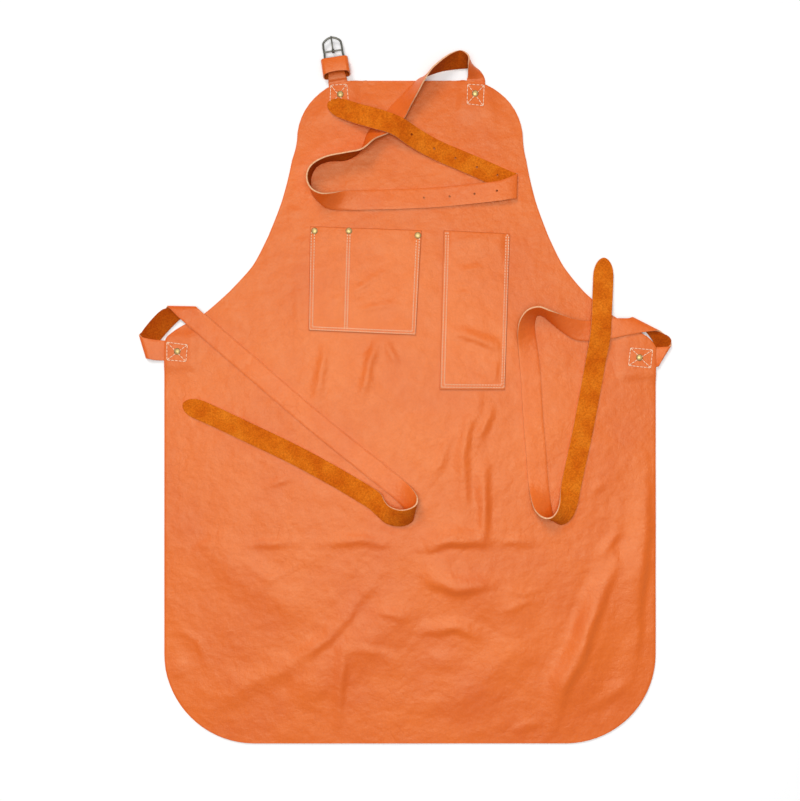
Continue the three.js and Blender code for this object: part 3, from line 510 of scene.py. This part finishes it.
STRAPS = {  # for each section: left edge x, y, z, right edge x, y, z
    "neck_strap": (
        (69, 370, 0.9, 91, 370, 0.9), (69, 403, 0.9, 91, 403, 0.9), (70, 406.5, 3.2, 90.5, 405, 0.95),
        (70, 412.5, 11, 88, 409.5, 0.95), (70, 419, 18.5, 82, 416, 0.95),
        (70.5, 425, 21.5, 74.5, 419, 0.95), (67.5, 431, 18, 69, 417.5, 1),
        (60.5, 436, 12, 59.5, 416.5, 1), (51.5, 432.5, 15, 50, 415.5, 1), (43.5, 427, 19, 39, 414, 1),
        (33.5, 418.5, 22, 29, 411, 1.2), (25.5, 410.5, 23.5, 21, 408, 1.2),
        (17, 397.5, 22.5, 11.5, 404, 2.3), (10, 384.5, 20, -2, 391.5, 2.8),
        (1.5, 370, 15, -14, 379.5, 2.8), (-6.5, 355, 10.5, -26, 367, 2.8),
        (-16, 344.5, 10, -36.5, 354, 2.8), (-26, 336.5, 12, -45, 345, 2.8),
        (-42, 328.5, 17.5, -51, 338, 2.8), (-58, 315, 23, -60, 316.5, 2.8),
        (-78, 310.5, 24, -76.5, 306, 2.8), (-102, 305, 25, -99.5, 304, 2.8),
        (-117.5, 296, 25, -114, 297, 2.8), (-123, 286, 25, -120, 285, 2.8),
        (-122.5, 275, 25, -120.5, 276, 2.8), (-117, 266.5, 25, -119, 266, 2.8),
        (-107, 262, 23, -112, 256.5, 2.8), (-94, 263.5, 16, -99.5, 247, 2.8),
        (-78.5, 267.5, 8, -81, 245, 2.8), (-54.5, 269, 3, -54.5, 245, 2.8),
        (-12, 270, 2.8, -11, 246, 2.8), (36.5, 272.5, 2.8, 37.5, 248.5, 2.8),
        (77.5, 276.5, 4.6, 79, 252.5, 4), (109, 280, 6, 111.5, 256, 6),
        (124.5, 286, 5.8, 123.5, 258, 5.8), (129.5, 289, 4.4, 128.5, 258.5, 4.4),
        (126, 290, 2.8, 122.5, 261, 2.8), (109, 297.5, 2.6, 98.5, 275, 2.6), (85, 308, 2.9, 75, 286, 2.9),
        (36.5, 328.5, 3.6, 25, 307.5, 3.6), (12, 341.5, 7.5, -0.5, 321, 7.5),
        (-9.5, 354.5, 13.2, -22.5, 334.5, 14.2), (-36.5, 365, 11.5, -44.5, 341.5, 12.5),
        (-60.5, 372.5, 7, -69, 349.5, 7.5), (-78.5, 378.5, 6.2, -87.5, 356.5, 5),
        (-94, 384.5, 6.2, -105, 363, 5),
    ),
    "waist_strap_left": (
        (-269.5, 62, 0.9, -269.5, 85.5, 0.9), (-296, 62.5, 0.9, -296, 86.5, 0.9),
        (-309, 63, 2.6, -315, 88.5, 3.2), (-317, 64.5, 3.6, -325.5, 91.5, 3.8),
        (-319.5, 65.5, 2.3, -328, 94, 2.3), (-317, 70, 0.95, -325.5, 97, 0.95),
        (-304, 86, 0.9, -320, 104.5, 0.9), (-289, 103, 0.9, -306.5, 119.5, 0.9),
        (-272, 118.5, 0.9, -300, 124.5, 0.9), (-262.5, 125.5, 1, -296, 126, 1),
        (-260.5, 127.3, 2.4, -294.5, 128, 2.4), (-257.5, 126, 4, -291, 125.5, 4),
        (-249.5, 119, 4.2, -281, 115.5, 4.2), (-235, 106.5, 3.4, -261.5, 98.5, 3.4),
        (-194.5, 72, 2.8, -211, 54.5, 2.8), (-109, -1.5, 2.8, -125.5, -19, 2.8),
        (-36.5, -59.5, 2.8, -52.5, -78, 2.8), (-7.5, -83, 4, -23, -101.5, 2.9),
        (3, -93, 9, -10.5, -113, 3.2), (8.5, -102, 15, -0.5, -123.5, 4), (7.5, -110, 19, 3.5, -130, 4.5),
        (1, -115, 20, -3, -136, 4.5), (-11, -117.5, 19, -14.5, -138, 4),
        (-23, -114.5, 15, -29, -134.5, 3.5), (-29.5, -109, 11, -40, -125.5, 3),
        (-35.5, -98.5, 7, -49.5, -117, 2.8), (-48.5, -89.5, 4, -62.5, -109, 2.8),
        (-85, -68, 2.8, -97, -88.5, 2.8), (-133.5, -41.5, 2.8, -145, -62.5, 2.8),
        (-194, -12.5, 2.8, -204.5, -34, 2.8), (-236.5, 7.5, 2.8, -247, -14, 2.8),
        (-269, 21.5, 2.8, -281, 0, 2.8),
    ),
    "waist_strap_right": (
        (264.5, 77.5, 0.9, 264.5, 54, 0.9), (299, 78.5, 0.9, 295.5, 54.5, 0.9),
        (307.5, 79, 2.6, 298.2, 54.6, 1.7), (313.5, 79.5, 3.6, 300.2, 55.2, 2.7),
        (316.5, 81.7, 2.3, 301, 57, 1.9), (316.8, 85, 0.95, 300.2, 61.5, 0.95),
        (316.8, 87.5, 0.9, 298.4, 72, 0.9), (314, 91.5, 0.9, 294, 87, 0.9), (309, 94.5, 1, 281, 103, 1),
        (302, 98.2, 2.4, 270, 114.5, 2.4), (299, 98.5, 4.2, 265, 113.5, 4.2),
        (281, 96.5, 5.2, 255, 113.5, 5), (262, 93, 5, 246, 113.5, 4.8), (241, 88.5, 3.4, 235, 112, 3.6),
        (218, 86.5, 2.8, 216, 110.5, 5), (200, 88, 2.8, 198, 112.5, 9),
        (184.5, 97.5, 2.8, 180, 118, 15.5), (169.5, 110, 2.8, 166.5, 122, 22),
        (160, 117, 2.8, 154, 126, 24), (154, 117, 2.8, 141, 122.5, 22), (151, 108, 2.8, 132.5, 111.5, 17),
        (151.5, 96, 2.8, 130, 98, 11), (154.5, 77.5, 2.8, 131, 80, 5), (157.5, 51, 2.8, 133.5, 53, 3),
        (161, -3.5, 2.8, 137, -4.5, 2.8), (165, -52, 2.8, 141, -54, 2.8),
        (167.5, -85, 2.8, 143.5, -86.5, 3.5), (169.5, -104, 2.8, 146, -104, 9),
        (171.5, -117.5, 2.8, 150, -117.5, 15), (173.5, -126.5, 2.8, 156.5, -124.5, 20),
        (176, -132, 2.8, 163.5, -127, 22.5), (182, -136, 2.8, 170, -125.5, 22),
        (190.5, -133.5, 2.8, 176, -119.5, 18), (198, -125, 2.8, 180, -110.5, 12),
        (203, -111.5, 2.8, 181.5, -100.5, 7), (206.5, -94.5, 2.8, 183, -89.5, 4),
        (211.5, -70.5, 2.8, 187.5, -67, 2.8), (219.5, -34, 2.8, 195.5, -30.5, 2.8),
        (230, 20.5, 2.8, 206, 24.5, 2.8), (237, 60.5, 3, 213, 64.5, 4), (242, 89.5, 6.8, 217.5, 92, 7.6),
        (243.5, 113.5, 7, 219.5, 114.5, 8), (245.5, 140.5, 3.4, 221, 141, 4),
        (246.5, 162.5, 2.2, 222, 163, 2.4), (247, 187, 1, 223.5, 187.5, 1),
    ),
}


def strap_edge(points, at):
    """A smooth curve through an edge's points, at a place counted in points, that keeps off the floor."""
    i = min(int(at), len(points) - 2)
    t = at - i
    b, c = points[i], points[i + 1]
    a = points[i - 1] if i else 2 * b - c
    d = points[i + 2] if i + 2 < len(points) else 2 * c - b
    before, here, after = (max(math.sqrt((q - p).length), 1e-4) for p, q in ((a, b), (b, c), (c, d)))
    leave = (b - a) / before - (c - a) / (before + here) + (c - b) / here
    reach = (c - b) / here - (d - b) / (here + after) + (d - c) / after
    leave, reach = leave * here, reach * here
    bend, twist = 3 * (c - b) - 2 * leave - reach, 2 * (b - c) + leave + reach
    point = b + leave * t + bend * t * t + twist * t ** 3
    point.z = max(point.z, STRAP_THICK / 2)
    return point


def strap_piece(name, left, right, tip_length):
    """A strip between two edges, its free end narrowed to a round tip; and its length."""
    last = len(left) - 2
    stations = [i / STEPS_PER_ROW for i in range(last * STEPS_PER_ROW)]
    stations += [last + i / TIP_STEPS for i in range(TIP_STEPS + 1)]
    steps = len(stations) - 1
    edges = [[strap_edge(side, at) for side in (left, right)] for at in stations]
    middles = [(a + b) / 2 for a, b in edges]
    run = [0]
    for before, after in zip(middles, middles[1:]):
        run.append(run[-1] + (after - before).length)

    def strap_point(s, t):
        i = round(t * steps)
        a, b = edges[i]
        width = 1
        if tip_length and run[-1] - run[i] < tip_length:
            narrowed = 1 - (run[-1] - run[i]) / tip_length
            width = max((1 - narrowed ** TIP_FULLNESS) ** (1 / TIP_ROUNDNESS), TIP_LEAST)
        point = middles[i] + (a - b) * (0.5 - s) * width
        point.z += slack(point.x, point.y)
        return point

    bm = shaped_grid(ACROSS, steps, strap_point)
    strip = finished(name + "_piece", bm, STRAP_FINISH, "apron")
    thickened(strip, STRAP_THICK, 0, STRAP_SOFT_EDGE)
    return strip, run[-1]


for name, rows in STRAPS.items():
    left_edge, right_edge = ([Vector(row[k:k + 3]) * MM for row in rows] for k in (0, 3))
    strip, strip_length = strap_piece(name, left_edge, right_edge, TIP_LENGTH)
    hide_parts(name)
    if name == "neck_strap":
        neck_strap = strip

# Adjusting holes. The neck strap is punched along its free end and the run below it, so that the
# prong can go through; each hole is a plain round punch through the leather, its wall painted near
# black as the shade inside it.
PUNCH_R = 1.3 * MM
PUNCHES = (  # x, y
    (2, 335), (29.5, 319), (55, 307.5), (81, 296.5), (106, 287),
    (17, 259.5), (48, 261), (78, 264), (105, 267.5),
)
PUNCH_LENGTH = 60 * MM
HOLE_RIM_ANGLE = math.radians(60)
punch_bm = bmesh.new()
for x, y in PUNCHES:
    bmesh.ops.create_cone(
        punch_bm, cap_ends=True, segments=16, radius1=PUNCH_R, radius2=PUNCH_R, depth=PUNCH_LENGTH,
        matrix=Matrix.Translation((x * MM, y * MM, 0)),
    )
punch_mesh = bpy.data.meshes.new("punch")
punch_bm.to_mesh(punch_mesh)
punch_bm.free()
# painted shade: the hole walls are coloured near black for the shade inside the holes
HOLE_PAINTED_SHADE = cut_edge("hole_painted_shade", (0.10, 0.030, 0.008), (0.05, 0.015, 0.004))
punch_mesh.materials.append(HOLE_PAINTED_SHADE)
neck_strap.data.materials.append(HOLE_PAINTED_SHADE)
punch = bpy.data.objects.new("punch", punch_mesh)
bpy.context.collection.objects.link(punch)
cut = neck_strap.modifiers.new("punched", "BOOLEAN")
cut.object = punch
cut.solver = "EXACT"
cut.material_mode = "TRANSFER"
bpy.context.view_layer.update()
punched_strap = neck_strap.evaluated_get(bpy.context.evaluated_depsgraph_get())
punched_mesh = bpy.data.meshes.new_from_object(punched_strap)
punched_mesh.set_sharp_from_angle(angle=HOLE_RIM_ANGLE)
neck_strap.modifiers.clear()
neck_strap.data = punched_mesh
bpy.data.objects.remove(punch)

# Buckle end. A short strap sewn behind the left bib corner is folded round the buckle's end rail;
# a loose leather keeper, a strip closed into a ring, holds the fold and waits for the strap's tip.
BUCKLE_PLACE = Matrix.Translation(Vector((-93, 437, 5.1)) * MM) @ Matrix.Rotation(math.radians(8.7), 4, "Z")
SEWN_HALF, IN_KEEPER_HALF, RAIL_HALF = 11.5 * MM, 11 * MM, 8.6 * MM
RAIL_Y = -15 * MM
FLOOR_Z = -4.2 * MM
KEEPER_Z = -2.5 * MM
SHORT_STRAP_ROUTE = [  # y, z, half width
    (-68 * MM, FLOOR_Z, SEWN_HALF), (-36 * MM, FLOOR_Z, SEWN_HALF), (-32.4 * MM, KEEPER_Z, IN_KEEPER_HALF),
    (RAIL_Y, KEEPER_Z, RAIL_HALF),
]
for turn in (-60, -30, 0, 30, 60, 90):
    angle = math.radians(turn)
    SHORT_STRAP_ROUTE.append((RAIL_Y - KEEPER_Z * math.cos(angle), -KEEPER_Z * math.sin(angle), RAIL_HALF))
SHORT_STRAP_ROUTE.append((-22 * MM, -KEEPER_Z, RAIL_HALF))
left_edge, right_edge = (
    [BUCKLE_PLACE @ Vector((side * half, y, z)) for y, z, half in SHORT_STRAP_ROUTE] for side in (-1, 1)
)
short_strap, short_length = strap_piece("buckle_strap", left_edge, right_edge, 0)
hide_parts("buckle_strap")

KEEPER_THICK = 1.4 * MM
KEEPER_HALF_WIDTH = 16.5 * MM
KEEPER_TOP = 12.4 * MM
KEEPER_CORNER_R = 4.5 * MM
KEEPER_NEAR_Y = -9 * MM
KEEPER_LENGTH = 19.5 * MM
KEEPER_LEAN = 0.28
KEEPER_ARCH = 2.2 * MM
KEEPER_CROWN = 0.6 * MM
KEEPER_SHOULDER = 0.6
KEEPER_SOFT_EDGE = 0.35 * MM
KEEPER_COLUMNS, KEEPER_ROWS = 96, 16


def round_box(s, half_width, height, r):
    """The point x, z on a box with round corners standing on the floor, s round it from 0 to 1."""
    sides = (2 * (half_width - r), height - 2 * r) * 2
    bend = r * QUARTER
    run = s * (sum(sides) + 4 * bend)
    right, left, low, high = half_width - r, r - half_width, r, height - r
    corners = ((right, low), (right, high), (left, high), (left, low))
    place, heading = Vector((r - half_width, 0)), 0.0
    for side, corner in zip(sides, corners):
        along = Vector((math.cos(heading), math.sin(heading)))
        if run <= side:
            return place + along * run
        run -= side
        turn = min(run / bend, 1) * QUARTER
        if run <= bend:
            return Vector(corner) + r * Vector((math.sin(heading + turn), -math.cos(heading + turn)))
        run -= bend
        heading += QUARTER
        place = Vector(corner) + r * Vector((math.sin(heading), -math.cos(heading)))
    return Vector((r - half_width, 0))


def keeper_point(s, t):
    """A point of the keeper's outside, s round it and t along the short strap."""
    x, z = round_box(s, KEEPER_HALF_WIDTH, KEEPER_TOP, KEEPER_CORNER_R)
    y = KEEPER_NEAR_Y + KEEPER_LEAN * (z - KEEPER_TOP) - KEEPER_LENGTH * (1 - t)
    on_top = smooth((z / KEEPER_TOP - KEEPER_SHOULDER) / (1 - KEEPER_SHOULDER))
    y += KEEPER_ARCH * on_top * (1 - t) * max(1 - (x / KEEPER_HALF_WIDTH) ** 2, 0)
    crown = KEEPER_CROWN * on_top * math.sin(math.pi * t)
    return BUCKLE_PLACE @ Vector((x, y, z + crown - BUCKLE_PLACE.translation.z))


keeper_bm = shaped_grid(KEEPER_COLUMNS, KEEPER_ROWS, keeper_point)
bmesh.ops.remove_doubles(keeper_bm, verts=keeper_bm.verts, dist=1e-6)
bmesh.ops.recalc_face_normals(keeper_bm, faces=keeper_bm.faces)
keeper = finished("keeper_ring", keeper_bm, STRAP_FINISH, "apron")
thickened(keeper, KEEPER_THICK, -1, KEEPER_SOFT_EDGE)
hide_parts("keeper_loop")
KEEPER_ROUND = 4 * (KEEPER_HALF_WIDTH - KEEPER_CORNER_R) + 2 * (KEEPER_TOP - 2 * KEEPER_CORNER_R)
KEEPER_ROUND += 2 * math.pi * KEEPER_CORNER_R

# Buckle. A bent steel wire frame, darkened, with a straight cross bar soldered in; the prong is a
# pin with an eye that turns on the bar and rests on the frame's arched tip.
WIRE_R = 1.25 * MM
BAR_R = 1.0 * MM
FRAME_HALF = 11
FRAME_SIDE = (  # x, y of one half, from the end rail to the tip
    (0, -15), (8, -15), (FRAME_HALF, -12), (FRAME_HALF, -2), (FRAME_HALF, 7.5), (10.3, 11), (7, 14.1),
    (3.2, 15.9), (0, 16.5),
)
PRONG_ROUTE = ((2, 0.5), (6.5, 1.95), (12.5, 2.45), (17.5, 2.6))  # y, z
PRONG_R = 0.9 * MM
EYE_R, BORE_R, EYE_WIDTH = 2.5 * MM, 1.5 * MM, 3 * MM


def dark_metal(name, colour, roughness, metallic):
    """Metal with a patina, rubbed lighter in places."""
    material, nodes, links, shader, where = new_finish(name, roughness, 0.5)
    shader.inputs["Metallic"].default_value = metallic
    patina = noise_of(nodes, links, where, 300, 3)
    rubbed, dull = (tuple(c * k for c in colour) for k in (1.25, 0.75))
    links.new(ramp_of(nodes, links, patina, ((0.35, dull), (0.65, rubbed))), shader.inputs["Base Color"])
    return material


def bent_wire(points, radius, closed):
    """A round wire through points, as a mesh in the buckle's place."""
    curve = bpy.data.curves.new("wire", "CURVE")
    curve.dimensions = "3D"
    curve.bevel_depth = radius
    curve.bevel_resolution = 4
    curve.use_fill_caps = True
    spline = curve.splines.new("BEZIER")
    spline.bezier_points.add(len(points) - 1)
    spline.use_cyclic_u = closed
    for knot, point in zip(spline.bezier_points, points):
        knot.co = BUCKLE_PLACE @ Vector(point)
        knot.handle_left_type = knot.handle_right_type = "AUTO"
    wire = bpy.data.objects.new("wire", curve)
    bpy.context.collection.objects.link(wire)
    bpy.context.view_layer.update()
    mesh = bpy.data.meshes.new_from_object(wire.evaluated_get(bpy.context.evaluated_depsgraph_get()))
    bm = bmesh.new()
    bm.from_mesh(mesh)
    bpy.data.objects.remove(wire)
    bpy.data.meshes.remove(mesh)
    return bm


GUNMETAL = dark_metal("gunmetal", (0.19, 0.185, 0.155), 0.32, 1)
half_loop = [(x * MM, y * MM, 0) for x, y in FRAME_SIDE]
other_half = [(-x, y, z) for x, y, z in half_loop[-2:0:-1]]
buckle_bm = bent_wire(half_loop + other_half, WIRE_R, True)
bar_mesh = bpy.data.meshes.new("bar")
bar_bm = bent_wire([(-FRAME_HALF * MM, 0, 0), (FRAME_HALF * MM, 0, 0)], BAR_R, False)
bar_bm.to_mesh(bar_mesh)
bar_bm.free()
buckle_bm.from_mesh(bar_mesh)
bpy.data.meshes.remove(bar_mesh)
buckle = finished("buckle_wire", buckle_bm, (GUNMETAL,), "apron")
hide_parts("buckle_frame")

prong_bm = bent_wire([(0, y * MM, z * MM) for y, z in PRONG_ROUTE], PRONG_R, False)
EYE_HALF = EYE_WIDTH / 2
eye_corners = [(-EYE_HALF, BORE_R), (EYE_HALF, BORE_R), (EYE_HALF, EYE_R), (-EYE_HALF, EYE_R)]
eye_verts = [prong_bm.verts.new(BUCKLE_PLACE @ Vector((x, r, 0))) for x, r in eye_corners]
eye_edges = [prong_bm.edges.new((eye_verts[i], eye_verts[(i + 1) % 4])) for i in range(4)]
bmesh.ops.spin(
    prong_bm, geom=eye_verts + eye_edges, cent=BUCKLE_PLACE.translation,
    axis=BUCKLE_PLACE.to_3x3() @ Vector((1, 0, 0)), angle=2 * math.pi, steps=28, use_merge=True,
)
bmesh.ops.recalc_face_normals(prong_bm, faces=prong_bm.faces)
prong = finished("prong_pin", prong_bm, (GUNMETAL,), "prong")
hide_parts("buckle_prong")

# Rivets. Domed brass caps, their rim painted dark as shade, set through the sewn strap ends and
# through the top of the wide pocket's seams.
RIVET_HEAD_R = 4 * MM
RIVET_RISE = 2 * MM
RIVETS = {  # x, y
    "rivet_neck_left": (-84.5, 385), "rivet_neck_right": (79, 386),
    "rivet_waist_left": (-282, 73.5), "rivet_waist_right": (278, 66),
    "rivet_pocket_left": (-115.5, 219.5), "rivet_pocket_middle": (-74, 219.5),
    "rivet_pocket_right": (9.5, 214),
}
OLD_BRASS = dark_metal("old_brass", (0.78, 0.57, 0.22), 0.4, 0.55)
# painted shade: a dark brass for the rim round each dome
RIM_BRASS_PAINTED_SHADE = dark_metal("rim_brass_painted_shade", (0.30, 0.21, 0.08), 0.45, 0.7)
DOME_R = 0.84 * RIVET_HEAD_R
DOME_FOOT = 0.5 * MM
DOME_STEPS = 8
RIM_FROM = 0.82 * RIVET_HEAD_R
RIVET_PROFILE = [  # radius, height: the flat rim, then the dome
    (RIVET_HEAD_R, -0.1 * MM), (RIVET_HEAD_R, 0.35 * MM), (0.9 * RIVET_HEAD_R, 0.6 * MM),
    (DOME_R, DOME_FOOT),
]
for k in range(1, DOME_STEPS + 1):
    angle = k * QUARTER / DOME_STEPS
    height = DOME_FOOT + (RIVET_RISE - DOME_FOOT) * math.sin(angle)
    RIVET_PROFILE.append((DOME_R * math.cos(angle), height))
for name, (x, y) in RIVETS.items():
    foot = Vector((x * MM, y * MM, panel_top(x * MM, y * MM)))
    if name.startswith("rivet_pocket"):
        foot.z += PANEL_THICK + POCKET_GAP
    rivet_bm = bmesh.new()
    ring = [rivet_bm.verts.new(foot + Vector((r, 0, z))) for r, z in RIVET_PROFILE]
    edges = [rivet_bm.edges.new(pair) for pair in zip(ring, ring[1:])]
    bmesh.ops.spin(
        rivet_bm, geom=ring + edges, cent=foot, axis=(0, 0, 1), angle=2 * math.pi, steps=32, use_merge=True,
    )
    bmesh.ops.remove_doubles(rivet_bm, verts=rivet_bm.verts, dist=1e-6)
    bmesh.ops.holes_fill(rivet_bm, edges=rivet_bm.edges, sides=64)
    bmesh.ops.recalc_face_normals(rivet_bm, faces=rivet_bm.faces)
    for face in rivet_bm.faces:
        # faces beyond RIM_FROM take the dark painted-shade brass
        face.material_index = int((face.calc_center_median() - foot).xy.length > RIM_FROM)
    rivet = finished(name + "_cap", rivet_bm, (OLD_BRASS, RIM_BRASS_PAINTED_SHADE), "apron")
    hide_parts(name)

# Seams. Pale waxed thread in short lock stitches, with the awl's holes between them as flat dots of
# painted shade: double rows on the pockets with a bar tack at the tall one's mouth, and a crossed box
# round every strap's rivet.
STITCH_LENGTH = 2.1 * MM
STITCH_PITCH = 3.4 * MM
THREAD_R = 0.52 * MM
BOX_STITCH = 4.3 * MM
BOX_PITCH = 4.5 * MM
BOX_THREAD_R = 0.36 * MM
POCKET_SEAMS = {  # across and up, 0 to 1, from and to
    "pocket_tools": (
        (0.012, 0.95, 0.010, 0.010), (0.040, 0.93, 0.036, 0.035), (0.010, 0.010, 0.992, 0.012),
        (0.036, 0.035, 0.966, 0.036), (0.985, 0.93, 0.992, 0.012), (0.958, 0.91, 0.966, 0.036),
        (0.337, 0.94, 0.335, 0.035), (0.360, 0.94, 0.358, 0.035),
    ),
    "pocket_tall": (
        (0.035, 0.975, 0.022, 0.016), (0.072, 0.975, 0.068, 0.032), (0.022, 0.016, 0.985, 0.014),
        (0.068, 0.032, 0.950, 0.030), (0.985, 0.985, 0.985, 0.014), (0.945, 0.985, 0.950, 0.030),
        (0.015, 0.984, 0.080, 0.984), (0.935, 0.990, 0.990, 0.990),
    ),
}
STRAP_BOXES = {  # corners x, y: top left, top right, bottom right, bottom left
    "neck_right": ((69.8, 397.2), (89.9, 396), (88.7, 371.1), (69.2, 373.5)),
    "neck_left": ((-96, 396), (-76.5, 397.2), (-74, 369), (-97, 371)),
    "waist_left": ((-294.5, 84.6), (-269.6, 81.4), (-271.5, 61.3), (-294.5, 63.2)),
    "waist_right": ((267.2, 77.7), (293.9, 75.3), (291.5, 53.4), (264.8, 56.5)),
}
HOLE_SIZE = Vector((0.55, 0.5, 0.12)) * MM


def waxed_thread(name, light, dark):
    """Pale thread, its twist showing as fine light and dark."""
    material, nodes, links, shader, where = new_finish(name, 0.7, 0.3)
    twist = noise_of(nodes, links, where, 900, 2)
    links.new(ramp_of(nodes, links, twist, ((0.35, dark), (0.65, light))), shader.inputs["Base Color"])
    return material


THREAD = waxed_thread("waxed_thread", (1.0, 0.88, 0.68), (0.95, 0.76, 0.54))
# painted shade: darker orange dots for the shade inside the awl holes
AWL_HOLE_PAINTED_SHADE = cut_edge("awl_hole_painted_shade", (0.46, 0.085, 0.014), (0.34, 0.055, 0.009))
LUMP = bmesh.new()
bmesh.ops.create_uvsphere(LUMP, u_segments=8, v_segments=6, radius=1)
LUMP.verts.index_update()


def stitch(bm, middle, heading, size, material_index):
    """One small round lump of thread, or one awl hole as a flat dot of painted shade, lying along a
    heading.
    """
    turn = heading.to_track_quat("X", "Z").to_matrix().to_4x4()
    place = Matrix.Translation(middle) @ turn @ Matrix.Diagonal((*size, 1))
    verts = [bm.verts.new(place @ vert.co) for vert in LUMP.verts]
    for face in LUMP.faces:
        bm.faces.new([verts[vert.index] for vert in face.verts]).material_index = material_index


def sew(bm, start, end, surface, length, pitch, radius):
    """A row of stitches from start to end; surface(point) lays a plan point on the leather."""
    count = max(round((end - start).length / pitch), 1)
    heading = surface(end) - surface(start)
    for i in range(count):
        middle = surface(start.lerp(end, (i + 0.5) / count))
        stitch(bm, middle + Vector((0, 0, radius / 2)), heading, (length / 2, radius, radius), 0)
        # the awl hole: a flat dark dot of painted shade
        stitch(bm, surface(start.lerp(end, i / count)), heading, HOLE_SIZE, 1)


def on_pocket(at):
    """A plan point laid on a pocket's face."""
    return Vector((at.x, at.y, POCKET_TOP + slack(at.x, at.y)))


def on_panel(at):
    """A plan point laid on the panel's grain side."""
    return Vector((at.x, at.y, panel_top(at.x, at.y)))


for name, rows in POCKET_SEAMS.items():
    corners, seams = POCKETS[name]
    seam_bm = bmesh.new()
    for s0, t0, s1, t1 in rows:
        start, end = (pocket_point(corners, seams, s, t) for s, t in ((s0, t0), (s1, t1)))
        sew(seam_bm, start, end, on_pocket, STITCH_LENGTH, STITCH_PITCH, THREAD_R)
    finished(name + "_seams", seam_bm, (THREAD, AWL_HOLE_PAINTED_SHADE), "apron")

for name, box in STRAP_BOXES.items():
    seam_bm = bmesh.new()
    corners = [Vector((x * MM, y * MM, 0)) for x, y in box]
    rows = list(zip(corners, corners[1:] + corners[:1]))
    rows += [(corners[0], corners[2]), (corners[1], corners[3])]
    for start, end in rows:
        sew(seam_bm, start, end, on_panel, BOX_STITCH, BOX_PITCH, BOX_THREAD_R)
    finished(name + "_seams", seam_bm, (THREAD, AWL_HOLE_PAINTED_SHADE), "apron")
LUMP.free()
